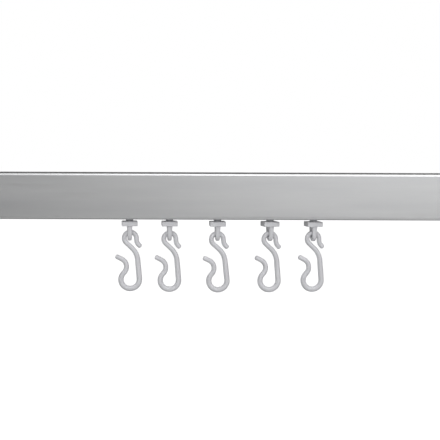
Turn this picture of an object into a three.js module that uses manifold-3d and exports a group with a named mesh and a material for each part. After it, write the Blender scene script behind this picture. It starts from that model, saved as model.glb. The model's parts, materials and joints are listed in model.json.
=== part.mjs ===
// A length of ceiling curtain rail: an aluminium extrusion with five gliders, an S-hook on each glider,
// an end stop and an end cap at each end, and two ceiling clips. Sizes are in millimetres, +Z is up.
//
// The origin lies in the ceiling plane, over the middle of the rail. +X runs along the rail and -Y is the
// room side. Everything below the ceiling has a negative z.

import * as THREE from "three";
import { mergeVertices } from "three/addons/utils/BufferGeometryUtils.js";
import Module from "manifold-3d";

// ---------------------------------------------------------------- driving dimensions

const GAP = 0.3; // clearance kept between pieces that touch
const FACETS = 20; // sides of a round shape

const RAIL = { length: 400, depth: 14, height: 26, wall: 1.2, corner: 1.8 };
const SLOT_WIDTH = 6; // the same at the top and the underside of the rail
const GLIDER_CHANNEL_HEIGHT = 4.6;
const CLIP_CHANNEL_HEIGHT = 5.6;
const WEB = 1; // floor and ceiling of the closed chamber in the middle of the rail

const CLIP_STACK = 4.5; // ceiling to the top of the rail
const CLIP_X = 150; // each clip's distance from the middle of the rail
const CLIP_PLATE = { length: 44, width: 14, thickness: 2, corner: 3 };
const SCREW_SPACING = 32; // between the two ceiling screws of one clip
const CAM = { lever: 1.6, width: 7, reach: 18, neckRadius: 2.4, bar: [5, 9.8, 1.8], barCorner: 1 };
const RIVET = { shaftRadius: 1.3, headRadius: 2.4, headHeight: 1, sinkRadius: 2.6, sinkDepth: 1 };
const CEILING_SCREW = { length: 25, radius: 1.75, headRadius: 3.3, headHeight: 1.5, tip: 4 };

const GLIDER_X = [-50.5, -28.2, -1.4, 27.9, 52.1];
const GLIDER_TURN = [8.5, 7.2, 6, 13.5, 10].map(THREE.MathUtils.degToRad); // they swivel a little in the slot
const HEAD = { radius: 5, height: 2.4, crown: 0.4 };
const NECK_RADIUS = 2.1;
// Drops are measured down from the underside of the rail.
const FLANGE = { width: 8.7, depth: 8.6, thickness: 2.7, drop: 1.2, corner: 0.3 };
const TAB = { thickness: 2.9, endThickness: 2.3, topDepth: 7.8, radius: 3.1, drop: 9.1 };
const EYE = { radius: 2.1, drop: 7.95 };

// A hook's wire is thin from its upper tip to the eye, swells to its full radius down the shank, and thins
// again from the bottom of the open loop to its lower tip. The places are shares of the wire's length.
const WIRE_RADIUS = { thin: 1.34, full: 1.54 };
const WIRE_PLACES = { eye: 0.25, shank: 0.5, bottom: 0.68 };
const WIRE_SIDES = 8;
const WIRE_STEPS = 60;
// The pins that a hook's wire is bent round, in order from its upper tip to its lower one, measured from
// the centre of the eye it hangs in. turn is +1 where the wire goes round its pin anticlockwise as seen
// from the front and -1 where it goes clockwise. The pins of no radius are the two tips.
const HOOK_PINS = [
  { x: 5.95, z: -8.1, radius: 0, turn: 1 }, // upper tip
  { x: 7.65, z: -3.95, radius: 4.2, turn: -1 }, // outward flick above the tip
  { x: 0, z: -3.15, radius: 3.4, turn: 1 }, // loop through the eye
  { x: -6.45, z: -16.3, radius: 10.6, turn: -1 }, // shoulder of the shank
  { x: -0.1, z: -26.4, radius: 5.15, turn: -1 }, // bottom of the open loop
  { x: -6.95, z: -19.1, radius: 4.8, turn: 1 }, // curl that closes the mouth
  { x: -8.2, z: -13.05, radius: 0, turn: 1 }, // lower tip
];
const HOOK_TURN = THREE.MathUtils.degToRad(6.4); // the hooks all hang turned alike
const HOOK_SHIFT = [0.4, 0.2, -0.1, 0, 0]; // along the eye
const HOOK_RISE = [0.25, -0.1, -0.3, -0.1, 0.25]; // within the play in the eye
const HOOK_LEAN = [-0.2, -0.4, 1.2, -0.3, -0.3].map(THREE.MathUtils.degToRad); // in the hook's own plane

const STOP_X = 188;
const STOP = { length: 9, headWidth: 10.4, headHeight: 3.8, neckWidth: 5.2, footWidth: 9, foot: 2.4 };
const SET_SCREW = { radius: 1.45, socketRadius: 0.8, socketDepth: 1.6 };
const CAP_PLATE = 1.6;
const CAP_LEG = { thickness: 1.6, height: 9.6, length: 9 };

// ---------------------------------------------------------------- heights that follow from them

const RAIL_TOP = -CLIP_STACK;
const RAIL_BOTTOM = RAIL_TOP - RAIL.height;
const LIP_TOP = RAIL_BOTTOM + RAIL.wall; // the ledge that the gliders run on
const CHANNEL_TOP = LIP_TOP + GLIDER_CHANNEL_HEIGHT;
const CHAMBER_BOTTOM = CHANNEL_TOP + WEB;
const CLIP_LEDGE = RAIL_TOP - RAIL.wall; // underside of the lips that a clip's cam bears on
const CLIP_CHANNEL_BOTTOM = CLIP_LEDGE - CLIP_CHANNEL_HEIGHT;
const CHAMBER_TOP = CLIP_CHANNEL_BOTTOM - WEB;
const INNER_DEPTH = RAIL.depth - 2 * RAIL.wall;

// ---------------------------------------------------------------- materials

const anodisedAluminium = new THREE.MeshStandardMaterial({ color: 0xb4b5b6, roughness: 0.42, metalness: 1 });
const whitePlastic = new THREE.MeshStandardMaterial({ color: 0xdbdbdf, roughness: 0.45, metalness: 0 });
const greyPlastic = new THREE.MeshStandardMaterial({ color: 0xafb0b1, roughness: 0.55, metalness: 0 });
const zincSteel = new THREE.MeshStandardMaterial({ color: 0xc3c6c9, roughness: 0.35, metalness: 1 });

// ---------------------------------------------------------------- solids

const wasm = await Module();
wasm.setup();

// A closed three.js geometry as a manifold-3d solid.
function solid(geometry) {
  const bare = geometry.clone();
  bare.deleteAttribute("normal");
  bare.deleteAttribute("uv");
  const merged = mergeVertices(bare, 1e-4);
  const vertProperties = new Float32Array(merged.attributes.position.array);
  const triVerts = new Uint32Array(merged.index.array);
  return new wasm.Manifold(new wasm.Mesh({ numProp: 3, vertProperties, triVerts }));
}

// A manifold-3d solid as a three.js geometry.
function geometryOf(made) {
  const { vertProperties, triVerts } = made.getMesh();
  const geometry = new THREE.BufferGeometry();
  geometry.setAttribute("position", new THREE.BufferAttribute(new Float32Array(vertProperties), 3));
  geometry.setIndex(new THREE.BufferAttribute(new Uint32Array(triVerts), 1));
  geometry.computeVertexNormals();
  return geometry;
}

// A box from its lowest to its highest corner.
function box(low, high) {
  const size = high.map((value, axis) => value - low[axis]);
  const middle = high.map((value, axis) => (value + low[axis]) / 2);
  return solid(new THREE.BoxGeometry(...size).translate(...middle));
}

// A box centred on the z axis, from one height to another.
function centredBox(lengthX, depthY, bottom, top) {
  return box([-lengthX / 2, -depthY / 2, bottom], [lengthX / 2, depthY / 2, top]);
}

// A solid turned about the z axis through x, from [radius, z] points that run upwards.
function turned(points, x = 0, sides = FACETS) {
  const profile = points.map(([radius, z]) => new THREE.Vector2(radius, z));
  return solid(new THREE.LatheGeometry(profile, sides).rotateX(Math.PI / 2).translate(x, 0, 0));
}

// An upright round pin about the z axis.
function roundPin(radius, bottom, top) {
  return turned([[0, bottom], [radius, bottom], [radius, top], [0, top]]);
}

// The outline of a rectangle with rounded corners, centred on 0, 0.
function roundedRectangle(width, height, corner) {
  const [w, h] = [width / 2 - corner, height / 2 - corner];
  const outline = new THREE.Shape();
  outline.moveTo(w + corner, -h);
  outline.absarc(w, h, corner, 0, Math.PI / 2);
  outline.absarc(-w, h, corner, Math.PI / 2, Math.PI);
  outline.absarc(-w, -h, corner, Math.PI, 1.5 * Math.PI);
  outline.absarc(w, -h, corner, 1.5 * Math.PI, 2 * Math.PI);
  return outline;
}

// An outline drawn in the X-Y plane, raised from one height to another.
function plate(outline, bottom, top, curveSegments = 4) {
  const geometry = new THREE.ExtrudeGeometry(outline, {
    depth: top - bottom,
    bevelEnabled: false,
    curveSegments,
  });
  return solid(geometry.translate(0, 0, bottom));
}

// An outline drawn in the Y-Z plane, run along X from one place to another.
function bar(outline, start, end, curveSegments = 4) {
  const geometry = new THREE.ExtrudeGeometry(outline, {
    depth: end - start,
    bevelEnabled: false,
    curveSegments,
  });
  const alongX = new THREE.Matrix4().makeBasis(
    new THREE.Vector3(0, 1, 0),
    new THREE.Vector3(0, 0, 1),
    new THREE.Vector3(1, 0, 0),
  );
  return solid(geometry.applyMatrix4(alongX).translate(start, 0, 0));
}

// ---------------------------------------------------------------- a wire bent round pins

// The heading of the straight stretch between two pins, from the first to the second.
function headingBetween(from, to) {
  const [dx, dz] = [to.x - from.x, to.z - from.z];
  const offset = from.turn * from.radius - to.turn * to.radius;
  return Math.atan2(dz, dx) + Math.asin(offset / Math.hypot(dx, dz));
}

// The angle, from a pin's centre, at which wire with this heading touches it.
function touchAngle(pin, heading) {
  return heading - (pin.turn * Math.PI) / 2;
}

// The centreline of a wire bent round pins, as a flat path whose second coordinate is the height.
function bentWire(pins) {
  const path = new THREE.Path();
  const last = pins.length - 1;
  path.moveTo(pins[0].x, pins[0].z);
  for (let i = 1; i < last; i += 1) {
    const pin = pins[i];
    const start = touchAngle(pin, headingBetween(pins[i - 1], pin));
    const end = touchAngle(pin, headingBetween(pin, pins[i + 1]));
    path.lineTo(pin.x + pin.radius * Math.cos(start), pin.z + pin.radius * Math.sin(start));
    path.absarc(pin.x, pin.z, pin.radius, start, end, pin.turn < 0);
  }
  path.lineTo(pins[last].x, pins[last].z);
  return path;
}

// The wire's radius at a share of the way along it from the upper tip.
function wireRadius(share) {
  const swelling = THREE.MathUtils.smoothstep(share, WIRE_PLACES.eye, WIRE_PLACES.shank);
  const thinning = THREE.MathUtils.smoothstep(share, WIRE_PLACES.bottom, 1);
  return THREE.MathUtils.lerp(WIRE_RADIUS.thin, WIRE_RADIUS.full, swelling - thinning);
}

// A hook's wire in the X-Z plane along a flat path.
function wireGeometry(path) {
  const positions = [];
  for (let step = 0; step <= WIRE_STEPS; step += 1) {
    const centre = path.getPoint(step / WIRE_STEPS);
    const heading = path.getTangent(step / WIRE_STEPS);
    const radius = wireRadius(step / WIRE_STEPS);
    for (let side = 0; side < WIRE_SIDES; side += 1) {
      const angle = (2 * Math.PI * side) / WIRE_SIDES;
      const across = radius * Math.cos(angle);
      positions.push(centre.x - across * heading.y, radius * Math.sin(angle), centre.y + across * heading.x);
    }
  }
  const index = [];
  for (let corner = 0; corner < WIRE_STEPS * WIRE_SIDES; corner += 1) {
    const next = (corner + 1) % WIRE_SIDES === 0 ? corner + 1 - WIRE_SIDES : corner + 1;
    index.push(corner, next + WIRE_SIDES, next, corner, corner + WIRE_SIDES, next + WIRE_SIDES);
  }
  const last = WIRE_STEPS * WIRE_SIDES;
  for (let side = 1; side < WIRE_SIDES - 1; side += 1) {
    index.push(0, side, side + 1, last, last + side + 1, last + side);
  }
  const geometry = new THREE.BufferGeometry();
  geometry.setAttribute("position", new THREE.Float32BufferAttribute(positions, 3));
  geometry.setIndex(index);
  geometry.computeVertexNormals();
  return geometry;
}

// ---------------------------------------------------------------- rail, end caps and end stops

function railGeometry() {
  const half = RAIL.length / 2;
  const middle = (RAIL_TOP + RAIL_BOTTOM) / 2;
  const outline = roundedRectangle(RAIL.depth, RAIL.height, RAIL.corner);
  // A channel runs past both ends of the rail, and past its face where that face is open.
  const channel = (width, bottom, top) => centredBox(RAIL.length + 2, width, bottom, top);
  const made = bar(outline, -half, half)
    .translate(0, 0, middle)
    .subtract(channel(INNER_DEPTH, LIP_TOP, CHANNEL_TOP))
    .subtract(channel(SLOT_WIDTH, RAIL_BOTTOM - 1, LIP_TOP + 1))
    .subtract(channel(INNER_DEPTH, CHAMBER_BOTTOM, CHAMBER_TOP))
    .subtract(channel(INNER_DEPTH, CLIP_CHANNEL_BOTTOM, CLIP_LEDGE))
    .subtract(channel(SLOT_WIDTH, CLIP_LEDGE - 1, RAIL_TOP + 1));
  return geometryOf(made);
}

// A cap for the end of the rail on the +X side: a plate with two legs that spring in the closed chamber.
function endCapGeometry() {
  const inner = RAIL.length / 2 + GAP;
  const middle = (RAIL_TOP + RAIL_BOTTOM) / 2;
  const legMiddle = (CHAMBER_TOP + CHAMBER_BOTTOM) / 2;
  const outline = roundedRectangle(RAIL.depth, RAIL.height, RAIL.corner);
  const legOuter = INNER_DEPTH / 2 - GAP;
  const leg = (side) => {
    const faces = [side * legOuter, side * (legOuter - CAP_LEG.thickness)].sort((a, b) => a - b);
    const low = [inner - CAP_LEG.length, faces[0], legMiddle - CAP_LEG.height / 2];
    const high = [inner + CAP_PLATE / 2, faces[1], legMiddle + CAP_LEG.height / 2];
    return box(low, high);
  };
  const made = bar(outline, inner, inner + CAP_PLATE)
    .translate(0, 0, middle)
    .add(leg(-1))
    .add(leg(1));
  return geometryOf(made);
}

// A stop clamped in the glider channel, centred on x = 0, with a hole for its set screw.
function endStopGeometry() {
  const headBottom = LIP_TOP + GAP;
  const footTop = RAIL_BOTTOM - GAP;
  const footBottom = footTop - STOP.foot;
  const made = centredBox(STOP.length, STOP.headWidth, headBottom, headBottom + STOP.headHeight)
    .add(centredBox(STOP.length, STOP.neckWidth, footTop - 1, headBottom + 1))
    .add(plate(roundedRectangle(STOP.length, STOP.footWidth, 1), footBottom, footTop))
    .subtract(roundPin(SET_SCREW.radius + GAP, footBottom - 1, CHANNEL_TOP));
  return geometryOf(made);
}

// A headless screw that presses on the top of the channel, with a driving socket in its lower end.
function setScrewGeometry() {
  const bottom = RAIL_BOTTOM - GAP - STOP.foot;
  const top = CHANNEL_TOP - GAP;
  const socket = roundPin(SET_SCREW.socketRadius, bottom - 1, bottom + SET_SCREW.socketDepth);
  return geometryOf(roundPin(SET_SCREW.radius, bottom, top).subtract(socket));
}

// ---------------------------------------------------------------- gliders

// One moulding, measured from the underside of the rail: a round head that runs on the ledges, a neck
// through the slot, a flange under the rail, and an upright tab with an eye through it.
function gliderGeometry() {
  const headBottom = RAIL.wall + GAP;
  const headTop = headBottom + HEAD.height;
  const flangeTop = -FLANGE.drop;
  const flangeBottom = flangeTop - FLANGE.thickness;
  const head = turned([
    [0, headBottom],
    [HEAD.radius, headBottom],
    [HEAD.radius, headTop],
    [HEAD.radius - 1.5, headTop + HEAD.crown],
    [0, headTop + HEAD.crown],
  ]);
  // The tab narrows downwards, both seen along the rail, where its end is round, and seen across it.
  const tabTop = (flangeTop + flangeBottom) / 2;
  const tabSides = bentWire([
    { x: -TAB.topDepth / 2, z: tabTop, radius: 0, turn: 1 },
    { x: 0, z: -TAB.drop, radius: TAB.radius, turn: 1 },
    { x: TAB.topDepth / 2, z: tabTop, radius: 0, turn: 1 },
  ]);
  const tabOutline = new THREE.Shape(tabSides.getPoints(FACETS / 2));
  const eyeOutline = new THREE.Path();
  eyeOutline.absarc(0, -EYE.drop, EYE.radius, 0, 2 * Math.PI, true);
  tabOutline.holes.push(eyeOutline);
  const tab = bar(tabOutline, -TAB.thickness / 2, TAB.thickness / 2, FACETS / 2).warp((point) => {
    const share = (tabTop - point[2]) / (tabTop + TAB.drop + TAB.radius);
    point[0] *= THREE.MathUtils.lerp(1, TAB.endThickness / TAB.thickness, share);
  });
  const made = head
    .add(roundPin(NECK_RADIUS, flangeTop - 0.5, headBottom + 0.5))
    .add(plate(roundedRectangle(FLANGE.width, FLANGE.depth, FLANGE.corner), flangeBottom, flangeTop, 3))
    .add(tab);
  return geometryOf(made);
}

// ---------------------------------------------------------------- ceiling clips

// The plate of a clip, with a sunk hole for its rivet and one for each ceiling screw, open downwards.
function clipPlateGeometry() {
  const bottom = -CLIP_PLATE.thickness;
  const outline = roundedRectangle(CLIP_PLATE.length, CLIP_PLATE.width, CLIP_PLATE.corner);
  const rivetHole = turned([
    [0, bottom - 1],
    [RIVET.shaftRadius + GAP, bottom - 1],
    [RIVET.shaftRadius + GAP, -RIVET.sinkDepth - GAP],
    [RIVET.sinkRadius + GAP, GAP],
    [0, GAP],
  ]);
  const screwHole = (x) =>
    turned(
      [
        [0, bottom - 0.1],
        [CEILING_SCREW.headRadius + GAP, bottom - 0.1],
        [CEILING_SCREW.radius + GAP, bottom + CEILING_SCREW.headHeight + GAP],
        [CEILING_SCREW.radius + GAP, 1],
        [0, 1],
      ],
      x,
    );
  const made = plate(outline, bottom, 0)
    .subtract(rivetHole)
    .subtract(screwHole(-SCREW_SPACING / 2))
    .subtract(screwHole(SCREW_SPACING / 2));
  return geometryOf(made);
}

// A quarter-turn cam: a lever under the plate, a neck through the rail's upper slot, and a bar that
// bears up against the rail's lips when it lies across the slot.
function clipCamGeometry() {
  const leverTop = -CLIP_PLATE.thickness - GAP;
  const leverBottom = leverTop - CAM.lever;
  const barTop = CLIP_LEDGE - GAP;
  const [barLength, barWidth, barHeight] = CAM.bar;
  const leverOutline = new THREE.Shape();
  leverOutline.absarc(0, 0, CAM.width / 2, Math.PI / 2, 1.5 * Math.PI);
  leverOutline.absarc(CAM.reach - CAM.width / 2, 0, CAM.width / 2, 1.5 * Math.PI, 2.5 * Math.PI);
  const made = plate(leverOutline, leverBottom, leverTop, 8)
    .add(roundPin(CAM.neckRadius, barTop - 0.5, leverBottom + 0.5))
    .add(plate(roundedRectangle(barLength, barWidth, CAM.barCorner), barTop - barHeight, barTop))
    .subtract(roundPin(RIVET.shaftRadius + GAP, barTop - barHeight - 1, leverTop + 1));
  return geometryOf(made);
}

// The rivet that a cam turns on, flush with the plate and spread under the cam's bar.
function clipRivetGeometry() {
  const camBottom = CLIP_LEDGE - GAP - CAM.bar[2];
  const headTop = camBottom - GAP;
  const made = turned([
    [0, headTop - RIVET.headHeight],
    [RIVET.headRadius, headTop - RIVET.headHeight],
    [RIVET.headRadius, headTop],
    [RIVET.shaftRadius, headTop],
    [RIVET.shaftRadius, -RIVET.sinkDepth],
    [RIVET.sinkRadius, 0],
    [0, 0],
  ]);
  return geometryOf(made);
}

// A countersunk wood screw, driven up through the plate into the ceiling.
function ceilingScrewGeometry() {
  const bottom = -CLIP_PLATE.thickness;
  const neck = bottom + CEILING_SCREW.headHeight;
  const tip = bottom + CEILING_SCREW.length;
  const made = turned(
    [
      [0, bottom],
      [CEILING_SCREW.headRadius, bottom],
      [CEILING_SCREW.radius, neck],
      [CEILING_SCREW.radius, tip - CEILING_SCREW.tip],
      [0, tip],
    ],
    0,
    12,
  );
  const [slotLength, slotWidth, slotDepth] = [5, 0.9, 0.8];
  const slot = centredBox(slotLength, slotWidth, bottom - 1, bottom + slotDepth);
  const crossSlot = centredBox(slotWidth, slotLength, bottom - 1, bottom + slotDepth);
  return geometryOf(made.subtract(slot).subtract(crossSlot));
}

// ---------------------------------------------------------------- assembly

const part = new THREE.Group();

// Adds a named mesh to a group, at a place along X.
function place(group, name, geometry, material, x = 0) {
  const mesh = new THREE.Mesh(geometry, material);
  mesh.name = name;
  mesh.position.x = x;
  group.add(mesh);
  return mesh;
}

place(part, "rail", railGeometry(), anodisedAluminium);

const capGeometry = endCapGeometry();
const stopGeometry = endStopGeometry();
const screwGeometry = setScrewGeometry();
const plateGeometry = clipPlateGeometry();
const camGeometry = clipCamGeometry();
const rivetGeometry = clipRivetGeometry();
const woodScrewGeometry = ceilingScrewGeometry();

for (const [end, side] of [["left", -1], ["right", 1]]) {
  const cap = place(part, `end_cap_${end}`, capGeometry, greyPlastic);
  cap.rotation.z = side < 0 ? Math.PI : 0;
  place(part, `end_stop_${end}`, stopGeometry, whitePlastic, side * STOP_X);
  place(part, `stop_screw_${end}`, screwGeometry, zincSteel, side * STOP_X);

  const clip = new THREE.Group();
  clip.position.x = side * CLIP_X;
  place(clip, `clip_plate_${end}`, plateGeometry, zincSteel);
  place(clip, `clip_cam_${end}`, camGeometry, greyPlastic);
  place(clip, `clip_rivet_${end}`, rivetGeometry, zincSteel);
  place(clip, `ceiling_screw_${end}_1`, woodScrewGeometry, zincSteel, -SCREW_SPACING / 2);
  place(clip, `ceiling_screw_${end}_2`, woodScrewGeometry, zincSteel, SCREW_SPACING / 2);
  part.add(clip);
}

const runnerGeometry = gliderGeometry();
const hookGeometry = wireGeometry(bentWire(HOOK_PINS)); // about the centre of its glider's eye

GLIDER_X.forEach((x, index) => {
  const number = index + 1;
  const glider = place(part, `glider_${number}`, runnerGeometry, whitePlastic, x);
  glider.position.z = RAIL_BOTTOM;
  glider.rotation.z = GLIDER_TURN[index];

  const hanger = new THREE.Group();
  hanger.position.set(x, 0, RAIL_BOTTOM - EYE.drop);
  hanger.rotation.z = HOOK_TURN;
  const hook = place(hanger, `hook_${number}`, hookGeometry, whitePlastic, HOOK_SHIFT[index]);
  hook.position.z = HOOK_RISE[index];
  hook.rotation.y = -HOOK_LEAN[index];
  part.add(hanger);
});

export default part;
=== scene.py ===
"""The looks of a length of aluminium curtain rail with five gliders and an S-hook on each glider.

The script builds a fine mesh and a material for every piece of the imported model. Shapes are worked out in
millimetres and scaled to metres when a piece is finished. The axes are the frame's: +X along the rail,
-Y the room side, +Z up, and the origin in the ceiling plane.
"""

import json
import math
from collections import namedtuple

import bmesh
import bpy
from mathutils import Matrix, Quaternion, Vector
from mathutils.geometry import tessellate_polygon

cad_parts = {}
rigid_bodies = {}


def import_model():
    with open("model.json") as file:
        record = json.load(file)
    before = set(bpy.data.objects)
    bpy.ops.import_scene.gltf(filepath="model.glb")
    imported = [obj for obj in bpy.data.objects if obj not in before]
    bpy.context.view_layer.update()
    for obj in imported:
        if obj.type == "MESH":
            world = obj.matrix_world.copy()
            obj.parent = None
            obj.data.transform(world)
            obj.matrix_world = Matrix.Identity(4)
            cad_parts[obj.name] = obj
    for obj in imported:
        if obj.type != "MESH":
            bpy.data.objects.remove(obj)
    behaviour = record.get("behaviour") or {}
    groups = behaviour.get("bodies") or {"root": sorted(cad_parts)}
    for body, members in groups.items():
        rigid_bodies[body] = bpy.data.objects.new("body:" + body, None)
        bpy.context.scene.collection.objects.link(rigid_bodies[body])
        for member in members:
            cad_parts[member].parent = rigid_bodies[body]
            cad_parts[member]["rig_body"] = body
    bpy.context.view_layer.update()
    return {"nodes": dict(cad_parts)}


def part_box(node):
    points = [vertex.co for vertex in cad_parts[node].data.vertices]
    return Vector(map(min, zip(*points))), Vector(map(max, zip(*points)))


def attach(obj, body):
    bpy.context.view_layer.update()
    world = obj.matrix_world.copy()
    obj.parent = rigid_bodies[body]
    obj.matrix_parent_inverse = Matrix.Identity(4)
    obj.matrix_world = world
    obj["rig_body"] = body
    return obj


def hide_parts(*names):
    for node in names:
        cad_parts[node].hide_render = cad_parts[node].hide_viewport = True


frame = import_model()

MM = 0.001  # a millimetre in metres
IDENTITY = Matrix.Identity(4)


# ---------------------------------------------------------------- sizes from the frame

def node_box(node):
    """The lowest and highest corners of a CAD node, in millimetres."""
    low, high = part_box(node)
    return low / MM, high / MM


RAIL_LOW, RAIL_HIGH = node_box("rail")
RAIL_TOP = RAIL_HIGH.z
RAIL_BOTTOM = RAIL_LOW.z

# ---------------------------------------------------------------- driving dimensions, as in the part

GAP = 0.3
PAST = 1.0  # how far a cutter runs past what it cuts, and a joined shell into its neighbour
WALL = 1.2
CORNER = 1.8
WEB = 1.0
SLOT_WIDTH = 6.0
GLIDER_CHANNEL_HEIGHT = 4.6
CLIP_CHANNEL_HEIGHT = 5.6
EDGE = 0.25  # radius of the small edges inside the rail

LIP_TOP = RAIL_BOTTOM + WALL
CHANNEL_TOP = LIP_TOP + GLIDER_CHANNEL_HEIGHT
CHAMBER_BOTTOM = CHANNEL_TOP + WEB
CLIP_LEDGE = RAIL_TOP - WALL
CLIP_CHANNEL_BOTTOM = CLIP_LEDGE - CLIP_CHANNEL_HEIGHT
CHAMBER_TOP = CLIP_CHANNEL_BOTTOM - WEB
HALF_INNER = RAIL_HIGH.y - WALL

HEAD_RADIUS = 5.0
HEAD_HEIGHT = 2.4
HEAD_CROWN = 0.4
NECK_RADIUS = 2.1
FLANGE_WIDTH = 8.7
FLANGE_DEPTH = 8.6
FLANGE_THICKNESS = 2.7
FLANGE_DROP = 1.2
FLANGE_CORNER = 0.3
TAB_THICKNESS = 2.9  # under the flange
TAB_TAPER = 0.6  # how much thinner the tab is at its lower end
TAB_TOP_DEPTH = 7.8
TAB_RADIUS = 3.1
TAB_DROP = 9.1
EYE_RADIUS = 2.1
EYE_DROP = 7.95
GLIDER_GRAIN = 0.13  # the size of the cells that a glider's skin is fused from

TIP_ROUNDING = 0.75  # share of the wire's radius
TIP_MARGIN = 0.2  # between a tip's rounding and the next ring of the wire
PARTING_LINE = 0.03  # how far the parting line stands out
BEND_SPACING = 0.45  # between the rings of the wire
# A hook's wire is thin from its upper tip to the eye, swells to its full radius down the shank, and thins
# again from the bottom of the open loop to its lower tip. The places are shares of the wire's length.
WIRE_THIN = 1.34
WIRE_FULL = 1.54
WIRE_EYE = 0.25
WIRE_SHANK = 0.5
WIRE_BOTTOM = 0.68
Pin = namedtuple("Pin", "x z radius turn")
HOOK_PINS = [
    Pin(5.95, -8.1, 0, 1),  # upper tip
    Pin(7.65, -3.95, 4.2, -1),  # outward flick above the tip
    Pin(0, -3.15, 3.4, 1),  # loop through the eye
    Pin(-6.45, -16.3, 10.6, -1),  # shoulder of the shank
    Pin(-0.1, -26.4, 5.15, -1),  # bottom of the open loop
    Pin(-6.95, -19.1, 4.8, 1),  # curl that closes the mouth
    Pin(-8.2, -13.05, 0, 1),  # lower tip
]
GLIDER_TURN = [8.5, 7.2, 6, 13.5, 10]
HOOK_TURN = 6.4
HOOK_SHIFT = [0.4, 0.2, -0.1, 0, 0]
HOOK_RISE = [0.25, -0.1, -0.3, -0.1, 0.25]
HOOK_LEAN = [-0.2, -0.4, 1.2, -0.3, -0.3]
GLIDER_X = [-50.5, -28.2, -1.4, 27.9, 52.1]

CLIP_THICKNESS = 2.0
CLIP_CORNER = 3.0
SCREW_SPACING = 32.0
RIVET_SHAFT = 1.3
RIVET_HEAD = 2.4
RIVET_SINK = 2.6
SCREW_LENGTH = 25.0
SCREW_RADIUS = 1.75
SCREW_HEAD = 3.3
SCREW_HEAD_HEIGHT = 1.5
SCREW_PITCH = 1.6
SCREW_PLAIN = 5.0  # from the head's face to the start of the thread
SCREW_POINT = 4.0
THREAD_FLANK = 0.3  # from a thread's crest to its root, as a share of its pitch
CAM_LEVER = 1.6
CAM_WIDTH = 7.0
CAM_REACH = 18.0
CAM_NECK = 2.4
CAM_BAR = (5.0, 9.8, 1.8)
CAM_GROOVES = (9.0, 10.8, 12.6)  # the grip's grooves, from the rivet
CAM_GROOVE_RADIUS = 0.6
CAM_GROOVE_OFFSET = 0.25  # how far outside the grip's sides the grooves are centred
SET_SCREW_RADIUS = 1.45
SET_SCREW_PITCH = 0.5
SOCKET_FLAT = 0.75  # half the width across the flats
SOCKET_DEPTH = 1.6
STOP_LENGTH = 9.0
STOP_HEAD_WIDTH = 10.4
STOP_HEAD_HEIGHT = 3.8
STOP_NECK_WIDTH = 5.2
STOP_FOOT_WIDTH = 9.0
STOP_FOOT = 2.4
CAP_PLATE = 1.6
CAP_LEG = (9.0, 1.6, 9.6)

# ---------------------------------------------------------------- outlines, as lists of flat points


def rounded(corners, closed=True, steps=6):
    """An outline through (u, v, radius) corners, each rounded to its radius."""
    points = []
    last = len(corners) - 1
    for index, (u, v, radius) in enumerate(corners):
        here = Vector((u, v))
        if radius == 0 or (not closed and index in (0, last)):
            points.append(here)
            continue
        before = (Vector(corners[index - 1][:2]) - here).normalized()
        after = (Vector(corners[(index + 1) % len(corners)][:2]) - here).normalized()
        half = before.angle(after) / 2
        centre = here + (before + after).normalized() * radius / math.sin(half)
        start = here + before * radius / math.tan(half) - centre
        end = here + after * radius / math.tan(half) - centre
        sweep = math.atan2(start.x * end.y - start.y * end.x, start.dot(end))
        for step in range(steps + 1):
            points.append(centre + Matrix.Rotation(sweep * step / steps, 2) @ start)
    return points


def rectangle(width, height, corner, steps=6):
    """A rounded rectangle round 0, 0, anticlockwise."""
    w, h = width / 2, height / 2
    return rounded([(w, -h, corner), (w, h, corner), (-w, h, corner), (-w, -h, corner)], steps=steps)


def circle(u, v, radius, sides=48, clockwise=False):
    """A round outline."""
    turn = -2 * math.pi / sides if clockwise else 2 * math.pi / sides
    return [Vector((u + radius * math.cos(turn * i), v + radius * math.sin(turn * i))) for i in range(sides)]


def inset(outline, distance):
    """An outline moved to its left by a distance, which is into the material."""
    if not distance:
        return outline
    moved = []
    for index, here in enumerate(outline):
        into = (here - outline[index - 1]).normalized()
        out = (outline[(index + 1) % len(outline)] - here).normalized()
        left_in, left_out = Vector((-into.y, into.x)), Vector((-out.y, out.x))
        moved.append(here + (left_in + left_out) * distance / (1 + left_in.dot(left_out)))
    return moved


def heading_between(first, second):
    """The heading of the straight stretch of a wire between two pins."""
    dx, dz = second.x - first.x, second.z - first.z
    offset = first.turn * first.radius - second.turn * second.radius
    return math.atan2(dz, dx) + math.asin(offset / math.hypot(dx, dz))


def bent(pins, spacing):
    """Stations (x, z, heading) of a wire bent round pins, at most a spacing apart."""
    headings = [heading_between(first, second) for first, second in zip(pins, pins[1:])]
    corners = [(pins[0].x, pins[0].z, headings[0])]
    for pin, before, after in zip(pins[1:-1], headings, headings[1:]):
        sweep = pin.turn * ((pin.turn * (after - before)) % (2 * math.pi))
        count = math.ceil(abs(sweep) * pin.radius / spacing)
        for step in range(count + 1):
            heading = before + sweep * step / count
            touch = heading - pin.turn * math.pi / 2
            x = pin.x + pin.radius * math.cos(touch)
            z = pin.z + pin.radius * math.sin(touch)
            corners.append((x, z, heading))
    corners.append((pins[-1].x, pins[-1].z, headings[-1]))
    stations = [corners[0]]
    for (x0, z0, _), (x1, z1, heading) in zip(corners, corners[1:]):
        count = math.ceil(math.hypot(x1 - x0, z1 - z0) / spacing - 0.01)
        for step in range(1, count + 1):
            share = step / count
            stations.append((x0 + (x1 - x0) * share, z0 + (z1 - z0) * share, heading))
    return stations


# ---------------------------------------------------------------- shells: (points, faces) in millimetres

ALONG_X = Matrix(((0, 0, 1), (1, 0, 0), (0, 1, 0)))  # takes an outline's (u, v, height) to (y, z, x)
UPRIGHT = Matrix.Identity(3)  # takes an outline's (u, v, height) to (x, y, z)


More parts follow.
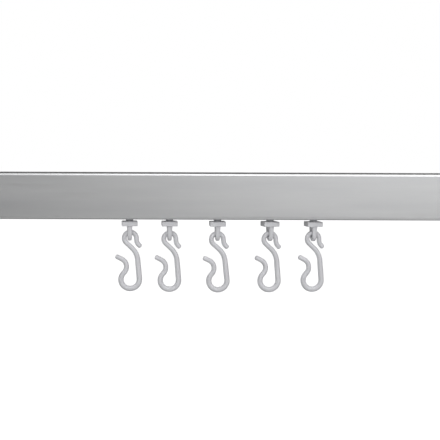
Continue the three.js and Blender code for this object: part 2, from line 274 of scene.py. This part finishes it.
def slab(outlines, low, high, rim=0.0, axes=UPRIGHT, steps=3):
    """Outlines raised from one height to another with both rims rounded: the first one anticlockwise,
    any holes clockwise."""
    stations = [(0.0, low)]
    if rim:
        turns = [math.pi / 2 * step / steps for step in range(steps + 1)]
        stations = [(rim * (1 - math.sin(turn)), low + rim * (1 - math.cos(turn))) for turn in turns]
    stations += [(offset, low + high - height) for offset, height in reversed(stations)]
    points, faces, starts = [], [], []
    for offset, height in stations:
        starts.append(len(points))
        for outline in outlines:
            points += [axes @ Vector((p.x, p.y, height)) for p in inset(outline, offset)]
    for lower, upper in zip(starts, starts[1:]):
        first = 0
        for outline in outlines:
            count = len(outline)
            for i in range(count):
                a, b = first + i, first + (i + 1) % count
                faces.append((lower + a, lower + b, upper + b, upper + a))
            first += count
    flat = [[Vector((p.x, p.y, 0)) for p in inset(outline, stations[0][0])] for outline in outlines]
    corners = [p for outline in flat for p in outline]
    for a, b, c in tessellate_polygon(flat):
        if (corners[b] - corners[a]).cross(corners[c] - corners[a]).z < 0:
            b, c = c, b
        faces.append((starts[0] + a, starts[0] + c, starts[0] + b))
        faces.append((starts[-1] + a, starts[-1] + b, starts[-1] + c))
    return points, faces


def turned(profile, sides=48):
    """A profile of (radius, z) points turned about the Z axis. It starts and ends on the axis, and a
    radius may be a function of the angle."""
    points, faces, rings = [], [], []
    for radius, z in profile:
        start = len(points)
        if radius == 0:
            rings.append([start] * sides)
            points.append(Vector((0, 0, z)))
            continue
        rings.append([start + side for side in range(sides)])
        for side in range(sides):
            angle = 2 * math.pi * side / sides
            reach = radius(angle) if callable(radius) else radius
            points.append(Vector((reach * math.cos(angle), reach * math.sin(angle), z)))
    for lower, upper in zip(rings, rings[1:]):
        for side in range(sides):
            following = (side + 1) % sides
            ring = (lower[side], lower[following], upper[following], upper[side])
            faces.append(tuple(dict.fromkeys(ring)))
    return points, faces


def rod(radius, low, high, sides=48):
    """A plain upright cylinder."""
    return turned([(0, low), (radius, low), (radius, high), (0, high)], sides)


def smooth_profile(corners, steps=5):
    """A profile for turned(), from (radius, z, rounding) corners."""
    return [(p.x if p.x > 1e-9 else 0, p.y) for p in rounded(corners, closed=False, steps=steps)]


def smooth_step(value, start, end):
    """0 up to the start, 1 from the end on, and a smooth rise between them."""
    share = min(max((value - start) / (end - start), 0), 1)
    return share * share * (3 - 2 * share)


def wire_radius(share):
    """The wire's radius at a share of the way along it from the upper tip."""
    swelling = smooth_step(share, WIRE_EYE, WIRE_SHANK)
    thinning = smooth_step(share, WIRE_BOTTOM, 1)
    return WIRE_THIN + (WIRE_FULL - WIRE_THIN) * (swelling - thinning)


def wire(stations, sides=32, tip_steps=6):
    """A hook's wire along (x, z, heading) stations in the X-Z plane, with rounded tips and a faint
    parting line down both of its edges."""
    lengths = [0.0]
    for (x0, z0, _), (x1, z1, _) in zip(stations, stations[1:]):
        lengths.append(lengths[-1] + math.hypot(x1 - x0, z1 - z0))
    tip = TIP_ROUNDING * WIRE_THIN
    tips = []
    for sign, (x, z, heading) in ((1, stations[0]), (-1, stations[-1])):
        ends = []
        for step in range(tip_steps + 1):
            turn = math.pi / 2 * step / tip_steps
            along = sign * tip * (1 - math.cos(turn))
            reach = WIRE_THIN - tip * (1 - math.sin(turn))
            ends.append((x + along * math.cos(heading), z + along * math.sin(heading), heading, reach))
        tips.append(ends)
    start, end = tip + TIP_MARGIN, lengths[-1] - tip - TIP_MARGIN
    middle = [
        (*station, wire_radius(length / lengths[-1]))
        for station, length in zip(stations, lengths)
        if start < length < end
    ]
    points, faces = [], []
    for x, z, heading, reach in tips[0] + middle + tips[1][::-1]:
        across = Vector((-math.sin(heading), 0, math.cos(heading)))
        for side in range(sides):
            angle = 2 * math.pi * side / sides
            ridge = PARTING_LINE * (side in (0, sides // 2)) * reach / WIRE_FULL
            offset = across * math.cos(angle) + Vector((0, math.sin(angle), 0))
            points.append(Vector((x, 0, z)) + offset * (reach + ridge))
    rows = len(points) // sides
    for row in range(rows - 1):
        for side in range(sides):
            a, b = row * sides + side, row * sides + (side + 1) % sides
            faces.append((a, b, b + sides, a + sides))
    faces.append(tuple(range(sides))[::-1])
    faces.append(tuple(range((rows - 1) * sides, rows * sides)))
    return points, faces


def moved(shell, matrix):
    """A shell moved by a matrix."""
    points, faces = shell
    return [matrix @ p for p in points], faces


# ---------------------------------------------------------------- meshes


def mesh_of(*shells):
    """One mesh of several shells, with every face pointing out."""
    shape = bmesh.new()
    for points, faces in shells:
        corners = [shape.verts.new(p) for p in points]
        for face in faces:
            shape.faces.new([corners[i] for i in face])
    bmesh.ops.recalc_face_normals(shape, faces=shape.faces)
    mesh = bpy.data.meshes.new("shape")
    shape.to_mesh(mesh)
    shape.free()
    return mesh


def with_modifiers(mesh, *settings):
    """The mesh after modifiers, each given as (type, {setting: value})."""
    holder = bpy.data.objects.new("holder", mesh)
    bpy.context.scene.collection.objects.link(holder)
    for kind, values in settings:
        modifier = holder.modifiers.new(kind, kind)
        for name, value in values.items():
            setattr(modifier, name, value)
    bpy.context.view_layer.update()
    made = bpy.data.meshes.new_from_object(holder.evaluated_get(bpy.context.evaluated_depsgraph_get()))
    bpy.data.objects.remove(holder)
    bpy.data.meshes.remove(mesh)
    return made


def moulded(voxel, *shells):
    """Overlapping shells as one skin, softened where they meet as a moulding is."""
    remesh = ("REMESH", {"mode": "VOXEL", "voxel_size": voxel})
    soften = ("SMOOTH", {"factor": 0.5, "iterations": 3})
    return with_modifiers(mesh_of(*shells), remesh, soften)


def combined(base, operation, *shells):
    """A mesh joined with or cut by shells: operation is UNION or DIFFERENCE."""
    made = base
    for shell in shells:
        other = bpy.data.objects.new("other", mesh_of(shell))
        bpy.context.scene.collection.objects.link(other)
        boolean = {"operation": operation, "solver": "EXACT", "object": other}
        made = with_modifiers(made, ("BOOLEAN", boolean))
        bpy.data.objects.remove(other)
    return made


# ---------------------------------------------------------------- the rail


def rail_mesh():
    """The extrusion: an open channel for the gliders, a closed chamber, and an open channel for clips."""
    half_slot = SLOT_WIDTH / 2
    half_depth = RAIL_HIGH.y
    right = [
        (HALF_INNER, CHANNEL_TOP, 2 * EDGE),
        (HALF_INNER, LIP_TOP, EDGE),
        (half_slot, LIP_TOP, EDGE),
        (half_slot, RAIL_BOTTOM, EDGE),
        (half_depth, RAIL_BOTTOM, CORNER),
        (half_depth, RAIL_TOP, CORNER),
        (half_slot, RAIL_TOP, EDGE),
        (half_slot, CLIP_LEDGE, EDGE),
        (HALF_INNER, CLIP_LEDGE, EDGE),
        (HALF_INNER, CLIP_CHANNEL_BOTTOM, 2 * EDGE),
    ]
    left = [(-u, v, radius) for u, v, radius in reversed(right)]
    chamber = [
        (HALF_INNER, CHAMBER_BOTTOM, 2 * EDGE),
        (-HALF_INNER, CHAMBER_BOTTOM, 2 * EDGE),
        (-HALF_INNER, CHAMBER_TOP, 2 * EDGE),
        (HALF_INNER, CHAMBER_TOP, 2 * EDGE),
    ]
    outlines = [rounded(right + left, steps=8), rounded(chamber)]
    return mesh_of(slab(outlines, RAIL_LOW.x, RAIL_HIGH.x, rim=0.08, axes=ALONG_X, steps=2))


# ---------------------------------------------------------------- gliders and hooks


def glider_mesh():
    """A glider from the rail's underside: head, neck, flange, and tab with its eye."""
    head_bottom = WALL + GAP
    head_top = head_bottom + HEAD_HEIGHT
    flange_top = -FLANGE_DROP
    flange_bottom = flange_top - FLANGE_THICKNESS
    head = turned(smooth_profile([
        (0, head_bottom, 0),
        (HEAD_RADIUS, head_bottom, 0.4),
        (HEAD_RADIUS, head_top, 0.5),
        (HEAD_RADIUS - 1.5, head_top + HEAD_CROWN, 1),
        (0, head_top + HEAD_CROWN, 0),
    ]))
    neck = rod(NECK_RADIUS, flange_top - PAST, head_bottom + PAST)
    outline = rectangle(FLANGE_WIDTH, FLANGE_DEPTH, FLANGE_CORNER)
    flange = slab([outline], flange_bottom, flange_top, rim=0.2)
    tab_top = (flange_top + flange_bottom) / 2
    side = TAB_TOP_DEPTH / 2
    sides = [Pin(-side, tab_top, 0, 1), Pin(0, -TAB_DROP, TAB_RADIUS, 1), Pin(side, tab_top, 0, 1)]
    outline = [Vector((y, z)) for y, z, _ in bent(sides, 0.4)]
    eye = circle(0, -EYE_DROP, EYE_RADIUS, clockwise=True)
    half = TAB_THICKNESS / 2
    tab = slab([outline, eye], -half, half, rim=0.8, axes=ALONG_X, steps=6)
    reach = TAB_DROP + TAB_RADIUS + flange_bottom
    for point in tab[0]:
        point.x *= 1 - TAB_TAPER / TAB_THICKNESS * max(0, flange_bottom - point.z) / reach
    return moulded(GLIDER_GRAIN, head, neck, flange, tab)


def hook_mesh():
    """A hook about the centre of the eye that it hangs in."""
    return mesh_of(wire(bent(HOOK_PINS, BEND_SPACING)))


# ---------------------------------------------------------------- end caps and end stops


def end_cap_mesh():
    """The cap on the +X end: a plate, and two legs that spring in the closed chamber."""
    inner = RAIL_HIGH.x + GAP
    middle = (RAIL_TOP + RAIL_BOTTOM) / 2
    leg_middle = (CHAMBER_TOP + CHAMBER_BOTTOM) / 2
    length, thickness, height = CAP_LEG
    tip, root = inner - length, inner + CAP_PLATE / 2
    face = rectangle(2 * RAIL_HIGH.y, RAIL_TOP - RAIL_BOTTOM, CORNER)
    outline = [p + Vector((0, middle)) for p in face]
    plate = slab([outline], inner, inner + CAP_PLATE, rim=0.35, axes=ALONG_X, steps=4)
    outer = HALF_INNER - GAP
    leg = rounded([
        (root, outer - thickness, 0.4),
        (root, outer, 0.4),
        (tip + 1.6, outer, 0.8),
        (tip, outer - 0.7, 0.4),
        (tip, outer - thickness, 0.4),
    ], steps=3)
    legs = [leg, [Vector((p.x, -p.y)) for p in reversed(leg)]]
    low, high = leg_middle - height / 2, leg_middle + height / 2
    return combined(mesh_of(plate), "UNION", *[slab([side], low, high, rim=0.25) for side in legs])


def end_stop_mesh():
    """A stop clamped in the glider channel, about x = 0, with a hole for its set screw."""
    head_bottom = LIP_TOP + GAP
    foot_top = RAIL_BOTTOM - GAP
    foot_bottom = foot_top - STOP_FOOT
    head_top = head_bottom + STOP_HEAD_HEIGHT
    head = slab([rectangle(STOP_LENGTH, STOP_HEAD_WIDTH, 1)], head_bottom, head_top, rim=0.35)
    neck_outline = rectangle(STOP_LENGTH - 0.1, STOP_NECK_WIDTH, 0.5)
    neck = slab([neck_outline], foot_top - PAST, head_bottom + PAST)
    foot = slab([rectangle(STOP_LENGTH, STOP_FOOT_WIDTH, 1)], foot_bottom, foot_top, rim=0.35)
    hole_radius = SET_SCREW_RADIUS + GAP
    hole = turned([
        (0, foot_bottom - PAST),
        (hole_radius + 1.5, foot_bottom - PAST),
        (hole_radius, foot_bottom + 0.5),
        (hole_radius, head_top + PAST),
        (0, head_top + PAST),
    ], sides=36)
    return combined(combined(mesh_of(head), "UNION", neck, foot), "DIFFERENCE", hole)


def thread(core, crest, pitch, low, high, run_out=0.0, rings_per_pitch=10):
    """Profile points of a screw thread from one height to another. Over the run-out the radius closes to
    nothing, as at a screw's point."""
    count = math.ceil((high - low) / pitch * rings_per_pitch)
    points = []
    for ring in range(count):
        z = low + (high - low) * ring / count
        taper = min(1, (high - z) / run_out) if run_out else 1
        fade = min(1, (z - low) / pitch, (high - z) / pitch * 2)

        def reach(angle, z=z, taper=taper, fade=fade):
            phase = (z / pitch - angle / (2 * math.pi)) % 1
            ridge = max(0, 1 - abs(phase - 0.5) / THREAD_FLANK)
            return taper * core + (crest - core) * ridge * fade * taper ** 0.5

        points.append((reach, z))
    return points


def hexagon(flat):
    """The reach of a hexagon, by angle, from half its width across the flats."""
    return lambda angle: flat / math.cos((angle + math.pi / 6) % (math.pi / 3) - math.pi / 6)


def cross(arm, width):
    """The reach of a cross, by angle, from its arm's length and half its arm's width."""
    def reach(angle):
        a, b = abs(math.cos(angle)), abs(math.sin(angle))
        return min(arm / max(a, b), width / max(min(a, b), 1e-6))
    return reach


def set_screw_mesh():
    """A headless screw with a hexagon socket in its lower end and a cup point."""
    bottom = RAIL_BOTTOM - GAP - STOP_FOOT
    top = CHANNEL_TOP - GAP
    core = SET_SCREW_RADIUS - 0.25
    profile = [
        (0, bottom + SOCKET_DEPTH + 0.4),
        (hexagon(SOCKET_FLAT - 0.01), bottom + SOCKET_DEPTH),
        (hexagon(SOCKET_FLAT), bottom + 0.15),
        (0.95, bottom),
        (core, bottom),
        *thread(core, SET_SCREW_RADIUS, SET_SCREW_PITCH, bottom + 0.25, top - 0.5),
        (core, top - 0.5),
        (core - 0.35, top),
        (0.6, top),
        (0, top - 0.4),
    ]
    return mesh_of(turned(profile))


# ---------------------------------------------------------------- ceiling clips


def clip_plate_mesh():
    """A steel plate against the ceiling, with a hole for the rivet and one for each ceiling screw."""
    bottom = -CLIP_THICKNESS
    low, high = node_box("clip_plate_right")
    outline = rectangle(high.x - low.x, high.y - low.y, CLIP_CORNER, steps=10)
    plate = slab([outline], bottom, 0, rim=0.3)
    rivet_hole = turned([
        (0, bottom - PAST),
        (RIVET_SHAFT + GAP, bottom - PAST),
        (RIVET_SHAFT + GAP, -1 - GAP),
        (RIVET_SINK + GAP, GAP),
        (0, GAP),
    ])
    screw_hole = turned([
        (0, bottom - 0.1),
        (SCREW_HEAD + GAP, bottom - 0.1),
        (SCREW_RADIUS + GAP, bottom + SCREW_HEAD_HEIGHT + GAP),
        (SCREW_RADIUS + GAP, PAST),
        (0, PAST),
    ])
    places = (-SCREW_SPACING / 2, SCREW_SPACING / 2)
    holes = [moved(screw_hole, Matrix.Translation((x, 0, 0))) for x in places]
    return combined(mesh_of(plate), "DIFFERENCE", rivet_hole, *holes)


def clip_cam_mesh():
    """A lever with a grooved grip, a neck through the rail's slot, and a bar that bears on the lips."""
    lever_top = -CLIP_THICKNESS - GAP
    lever_bottom = lever_top - CAM_LEVER
    bar_length, bar_width, bar_height = CAM_BAR
    bar_top = CLIP_LEDGE - GAP
    bar_bottom = bar_top - bar_height
    half = CAM_WIDTH / 2
    lever_outline = rounded([
        (-half, -half, half),
        (CAM_REACH, -half, half),
        (CAM_REACH, half, half),
        (-half, half, half),
    ], steps=16)
    lever = slab([lever_outline], lever_bottom, lever_top, rim=0.3)
    neck = rod(CAM_NECK, bar_top - PAST / 2, lever_bottom + PAST / 2)
    bar = slab([rectangle(bar_length, bar_width, 1)], bar_bottom, bar_top, rim=0.3)
    hole = rod(RIVET_SHAFT + GAP, bar_bottom - PAST, lever_top + PAST)
    groove = rod(CAM_GROOVE_RADIUS, lever_bottom - PAST, lever_top + PAST, sides=24)
    grip = [
        moved(groove, Matrix.Translation((x, side * (half + CAM_GROOVE_OFFSET), 0)))
        for x in CAM_GROOVES
        for side in (-1, 1)
    ]
    return combined(combined(mesh_of(lever), "UNION", neck, bar), "DIFFERENCE", hole, *grip)


def clip_rivet_mesh():
    """The rivet that a cam turns on: sunk flush in the plate, with a domed head under the bar."""
    head_top = CLIP_LEDGE - 2 * GAP - CAM_BAR[2]
    head_bottom = head_top - 1
    profile = smooth_profile([
        (0, head_bottom, 0),
        (RIVET_HEAD - 0.9, head_bottom, 0.5),
        (RIVET_HEAD, head_bottom + 0.55, 0.3),
        (RIVET_HEAD, head_top, 0.1),
        (RIVET_SHAFT, head_top, 0.05),
        (RIVET_SHAFT, -1, 0.05),
        (RIVET_SINK, 0, 0.1),
        (0.9, 0, 0.1),
        (0.6, -0.3, 0.1),
        (0, -0.3, 0),
    ])
    return mesh_of(turned(profile))


def ceiling_screw_mesh():
    """A countersunk wood screw driven up through the plate: cross recess, plain neck, thread, point."""
    bottom = -CLIP_THICKNESS
    neck = bottom + SCREW_HEAD_HEIGHT
    tip = bottom + SCREW_LENGTH
    core = 0.7 * SCREW_RADIUS
    profile = [
        (0, bottom + 1.3),
        (cross(0.9, 0.3), bottom + 1),
        (cross(1.9, 0.4), bottom + 0.1),
        (cross(2.05, 0.5), bottom),
        (SCREW_HEAD - 0.15, bottom),
        (SCREW_HEAD, bottom + 0.12),
        (core + 0.5, neck - 0.1),
        (core, neck + 0.3),
        *thread(core, SCREW_RADIUS, SCREW_PITCH, bottom + SCREW_PLAIN, tip, run_out=SCREW_POINT),
        (0, tip),
    ]
    return mesh_of(turned(profile, sides=72))


# ---------------------------------------------------------------- materials


def add_node(tree, kind, inputs, **settings):
    """A new node. An input given as a socket is linked, and any other is set."""
    node = tree.nodes.new(kind)
    for name, value in settings.items():
        setattr(node, name, value)
    for name, value in inputs.items():
        if isinstance(value, bpy.types.NodeSocket):
            tree.links.new(value, node.inputs[name])
        else:
            node.inputs[name].default_value = value
    return node


def noise(tree, per_metre, detail=3.0, roughness=0.55):
    """Noise over the object's own coordinates, with so many features per metre along x, y and z."""
    where = add_node(tree, "ShaderNodeTexCoord", {}).outputs["Object"]
    scaled = add_node(tree, "ShaderNodeMapping", {"Vector": where, "Scale": per_metre})
    inputs = {"Vector": scaled.outputs["Vector"], "Scale": 1.0, "Detail": detail, "Roughness": roughness}
    return add_node(tree, "ShaderNodeTexNoise", inputs).outputs["Fac"]


def ramp(tree, value, start, end, first, last):
    """A value that runs from the first number to the last while another runs from start to end."""
    inputs = {"Value": value, "From Min": start, "From Max": end, "To Min": first, "To Max": last}
    return add_node(tree, "ShaderNodeMapRange", inputs).outputs["Result"]


def spread(tree, value, low, high):
    """A noise value, mostly 0.3 to 0.7, spread from one number to another."""
    return ramp(tree, value, start=0.3, end=0.7, first=low, last=high)


def combine(tree, operation, first, second):
    """The sum or product of two values."""
    return add_node(tree, "ShaderNodeMath", {0: first, 1: second}, operation=operation).outputs["Value"]


def blend(tree, share, first, second):
    """A colour between two others."""
    node = add_node(tree, "ShaderNodeMix", {"Factor": share}, data_type="RGBA")
    colours = [socket for socket in node.inputs if socket.type == "RGBA"]
    for socket, colour in zip(colours, (first, second)):
        socket.default_value = (*colour, 1)
    return next(socket for socket in node.outputs if socket.type == "RGBA")


def finished_material(name, metallic, colour, roughness, bump, depth, ior=1.5):
    """A material whose colour, roughness and bump come from functions that make nodes."""
    made = bpy.data.materials.new(name)
    made.use_nodes = True
    tree = made.node_tree
    surface = tree.nodes["Principled BSDF"]
    surface.inputs["Metallic"].default_value = metallic
    surface.inputs["IOR"].default_value = ior
    tree.links.new(colour(tree), surface.inputs["Base Color"])
    tree.links.new(roughness(tree), surface.inputs["Roughness"])
    bumped = add_node(tree, "ShaderNodeBump", {"Height": bump(tree), "Strength": 1.0, "Distance": depth})
    tree.links.new(bumped.outputs["Normal"], surface.inputs["Normal"])
    return made


def anodised_aluminium():
    """Drawn aluminium, etched and anodised: satin, with the die's faint lines along it."""
    def colour(tree):
        cloud = spread(tree, noise(tree, (9, 90, 90), detail=5), 0, 1)
        return blend(tree, cloud, (0.66, 0.665, 0.675), (0.73, 0.735, 0.735))

    def roughness(tree):
        return spread(tree, noise(tree, (14, 2600, 2600), detail=4, roughness=0.7), 0.33, 0.45)

    def bump(tree):
        lines = spread(tree, noise(tree, (10, 1500, 1500), detail=3), 0, 0.6)
        grain = spread(tree, noise(tree, (2500, 5000, 5000), detail=2), 0, 0.4)
        return combine(tree, "ADD", lines, grain)

    return finished_material("anodised aluminium", 1.0, colour, roughness, bump, 0.004 * MM)


def white_plastic():
    """White moulded plastic: an even body with faint flow marks and a satin skin."""
    def colour(tree):
        flow = spread(tree, noise(tree, (160, 160, 90), detail=4), 0, 1)
        return blend(tree, flow, (0.675, 0.675, 0.70), (0.72, 0.72, 0.745))

    def roughness(tree):
        return spread(tree, noise(tree, (700, 700, 700), detail=3), 0.36, 0.5)

    def bump(tree):
        return noise(tree, (1400, 1400, 1400), detail=3)

    return finished_material("white plastic", 0.0, colour, roughness, bump, 0.012 * MM, ior=1.47)


def grey_plastic():
    """Grey moulded plastic with the fine matt grain of an eroded mould."""
    def colour(tree):
        flow = spread(tree, noise(tree, (180, 180, 180), detail=4), 0, 1)
        return blend(tree, flow, (0.4, 0.405, 0.41), (0.46, 0.465, 0.47))

    def roughness(tree):
        return spread(tree, noise(tree, (900, 900, 900), detail=2), 0.5, 0.65)

    def bump(tree):
        return noise(tree, (4200, 4200, 4200), detail=2)

    return finished_material("grey plastic", 0.0, colour, roughness, bump, 0.03 * MM, ior=1.49)


def zinc_steel():
    """Zinc-plated steel: bright, slightly blue, clouded by handling, with fine rolling marks."""
    def colour(tree):
        cloud = spread(tree, noise(tree, (220, 220, 220), detail=5), 0, 1)
        return blend(tree, cloud, (0.55, 0.575, 0.61), (0.68, 0.685, 0.68))

    def roughness(tree):
        return spread(tree, noise(tree, (350, 350, 350), detail=6, roughness=0.65), 0.24, 0.42)

    def bump(tree):
        return noise(tree, (500, 3500, 3500), detail=3)

    return finished_material("zinc-plated steel", 1.0, colour, roughness, bump, 0.006 * MM)


MATERIALS = {
    "anodised_aluminium": anodised_aluminium(),
    "white_plastic": white_plastic(),
    "grey_plastic": grey_plastic(),
    "zinc_steel": zinc_steel(),
}

# ---------------------------------------------------------------- pieces

SHARP = math.radians(35)  # edges turned further than this are shaded as edges


def add_piece(node, mesh, slot, place=IDENTITY):
    """The finished piece that stands for a CAD node, from a mesh in millimetres at that place."""
    fine = mesh.copy()
    fine.name = f"{node}_surface"
    fine.transform(Matrix.Scale(MM, 4) @ place)
    fine.shade_smooth()
    fine.set_sharp_from_angle(angle=SHARP)
    fine.materials.clear()
    fine.materials.append(MATERIALS[slot])
    piece = bpy.data.objects.new(f"{node}_finished", fine)
    bpy.context.scene.collection.objects.link(piece)
    flats = piece.modifiers.new("flat faces stay flat", "WEIGHTED_NORMAL")
    flats.keep_sharp = True
    flats.weight = 100
    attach(piece, frame["nodes"][node]["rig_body"])
    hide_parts(node)


def centre_x(node):
    """The middle of a CAD node along the rail, in millimetres."""
    low, high = node_box(node)
    return (low.x + high.x) / 2


add_piece("rail", rail_mesh(), "anodised_aluminium")

cap_mesh = end_cap_mesh()
stop_mesh = end_stop_mesh()
screw_mesh = set_screw_mesh()
plate_mesh = clip_plate_mesh()
cam_mesh = clip_cam_mesh()
rivet_mesh = clip_rivet_mesh()
wood_screw_mesh = ceiling_screw_mesh()

for end, turn in (("left", math.pi), ("right", 0)):
    add_piece(f"end_cap_{end}", cap_mesh, "grey_plastic", Matrix.Rotation(turn, 4, "Z"))
    at_stop = Matrix.Translation((centre_x(f"end_stop_{end}"), 0, 0))
    add_piece(f"end_stop_{end}", stop_mesh, "white_plastic", at_stop)
    add_piece(f"stop_screw_{end}", screw_mesh, "zinc_steel", at_stop)
    at_clip = Matrix.Translation((centre_x(f"clip_plate_{end}"), 0, 0))
    add_piece(f"clip_plate_{end}", plate_mesh, "zinc_steel", at_clip)
    add_piece(f"clip_cam_{end}", cam_mesh, "grey_plastic", at_clip)
    add_piece(f"clip_rivet_{end}", rivet_mesh, "zinc_steel", at_clip)
    for number in (1, 2):
        node = f"ceiling_screw_{end}_{number}"
        at_screw = Matrix.Translation((centre_x(node), 0, 0))
        add_piece(node, wood_screw_mesh, "zinc_steel", at_screw)

runner_mesh = glider_mesh()
wire_mesh = hook_mesh()

turned_hook = Matrix.Rotation(math.radians(HOOK_TURN), 4, "Z")

for index, x in enumerate(GLIDER_X):
    station = Matrix.Translation((x, 0, RAIL_BOTTOM))
    swivel = Matrix.Rotation(math.radians(GLIDER_TURN[index]), 4, "Z")
    add_piece(f"glider_{index + 1}", runner_mesh, "white_plastic", station @ swivel)
    hung = Matrix.Translation((HOOK_SHIFT[index], 0, HOOK_RISE[index] - EYE_DROP))
    lean = Matrix.Rotation(-math.radians(HOOK_LEAN[index]), 4, "Y")
    add_piece(f"hook_{index + 1}", wire_mesh, "white_plastic", station @ turned_hook @ hung @ lean)

# ---------------------------------------------------------------- camera

AIM = Vector((0, RAIL_LOW.y, RAIL_BOTTOM + 0.08)) * MM  # by the rail's lower front edge, at its middle
CAMERA_DISTANCE = 0.44
CAMERA_ELEVATION = math.radians(4.5)
CAMERA_ROLL = math.radians(0.21)
VIEW_WIDTH = 0.2418  # what the picture takes in at the aim, in metres

camera_data = bpy.data.cameras.new("camera")
camera_data.sensor_width = 36
camera_data.lens = camera_data.sensor_width * CAMERA_DISTANCE / VIEW_WIDTH
camera_data.clip_start = 0.01
camera = bpy.data.objects.new("camera", camera_data)
bpy.context.scene.collection.objects.link(camera)
towards = Vector((0, math.cos(CAMERA_ELEVATION), -math.sin(CAMERA_ELEVATION)))
camera.location = AIM - towards * CAMERA_DISTANCE
camera.rotation_mode = "QUATERNION"
camera.rotation_quaternion = towards.to_track_quat("-Z", "Y") @ Quaternion((0, 0, 1), CAMERA_ROLL)
bpy.context.scene.camera = camera

# ---------------------------------------------------------------- floor, light and background, in metres

FLOOR_SIZE = 60.0
FLOOR_HEIGHT = -0.9
BACKDROP_BRIGHTNESS = 0.9


def add_light(name, place, width, height, brightness):
    """A soft light that the camera doesn't see, turned towards what the camera looks at. Its brightness
    is that of its face."""
    data = bpy.data.lights.new(name, "AREA")
    data.shape = "RECTANGLE"
    data.size = width
    data.size_y = height
    data.energy = brightness * math.pi * width * height
    light = bpy.data.objects.new(name, data)
    bpy.context.scene.collection.objects.link(light)
    light.location = place
    light.rotation_mode = "QUATERNION"
    light.rotation_quaternion = (AIM - Vector(place)).to_track_quat("-Z", "Y")
    light.visible_camera = False
    return light


def add_floor():
    """A plain white floor, well below the rail, that throws no light back at it."""
    data = bpy.data.meshes.new("floor")
    half, height = FLOOR_SIZE / 2, FLOOR_HEIGHT
    corners = [(-half, -half, height), (half, -half, height), (half, half, height), (-half, half, height)]
    data.from_pydata(corners, [], [(0, 1, 2, 3)])
    paint = bpy.data.materials.new("floor paint")
    paint.use_nodes = True
    surface = paint.node_tree.nodes["Principled BSDF"]
    surface.inputs["Base Color"].default_value = (0.9, 0.9, 0.9, 1)
    surface.inputs["Emission Color"].default_value = (1, 1, 1, 1)
    surface.inputs["Emission Strength"].default_value = 1.0
    data.materials.append(paint)
    floor = bpy.data.objects.new("floor", data)
    bpy.context.scene.collection.objects.link(floor)
    floor.visible_diffuse = False
    floor.visible_glossy = False
    floor.visible_shadow = False


def set_background():
    """A white sweep that greys overhead, and lights the object far less than its white would."""
    world = bpy.data.worlds.new("studio")
    world.use_nodes = True
    tree = world.node_tree
    tree.nodes.clear()
    direction = add_node(tree, "ShaderNodeTexCoord", {}).outputs["Generated"]
    axes = add_node(tree, "ShaderNodeSeparateXYZ", {"Vector": direction}).outputs
    depth, height = axes["Y"], axes["Z"]
    seen = ramp(tree, height, start=0.25, end=0.5, first=1.0, last=0.72)
    behind = ramp(tree, depth, start=0.2, end=0.7, first=0, last=1)
    # What lights the object: a grey that lightens downwards, light off the floor behind it, and a bright
    # band of backdrop behind it at its own height.
    below = ramp(tree, height, start=-0.35, end=0, first=0.26, last=0.11)
    near_floor = ramp(tree, height, start=-0.12, end=-0.02, first=0.26, last=0)
    bounced = combine(tree, "MULTIPLY", behind, near_floor)
    band_top = ramp(tree, height, start=0.1, end=0.16, first=1, last=0)
    band_bottom = ramp(tree, height, start=-0.03, end=0, first=0, last=1)
    band = combine(tree, "MULTIPLY", band_top, band_bottom)
    backdrop = combine(tree, "MULTIPLY", behind, combine(tree, "MULTIPLY", band, BACKDROP_BRIGHTNESS))
    lit = combine(tree, "ADD", below, combine(tree, "ADD", bounced, backdrop))
    by_camera = add_node(tree, "ShaderNodeLightPath", {}).outputs["Is Camera Ray"]
    mixed = add_node(tree, "ShaderNodeMix", {"Factor": by_camera, "A": lit, "B": seen})
    colour = {"Color": (1, 1, 1, 1), "Strength": mixed.outputs["Result"]}
    background = add_node(tree, "ShaderNodeBackground", colour)
    output = tree.nodes.new("ShaderNodeOutputWorld")
    tree.links.new(background.outputs["Background"], output.inputs["Surface"])
    bpy.context.scene.world = world


bpy.context.scene.view_settings.view_transform = "Standard"
set_background()
add_floor()
# The key is only seen in reflections. The fill lights the plastics from nearer the camera, without a
# reflection of its own.
key = add_light("key", (0.75, -1.6, 0.66), width=2.0, height=1.4, brightness=1.57)
key.visible_diffuse = False
fill = add_light("fill", (0.0, -1.75, 0.66), width=2.0, height=1.4, brightness=1.3)
fill.visible_glossy = False
add_light("front", (-0.9, -1.8, 0.6), width=2.0, height=1.3, brightness=0.4)
add_light("top", (0.3, -1.15, 1.35), width=2.6, height=1.3, brightness=1.7)
add_light("bounce", (0.35, -0.6, -0.85), width=1.8, height=1.0, brightness=0.45)
add_light("rear", (1.5, 0.9, 0.5), width=1.0, height=1.0, brightness=0.9)
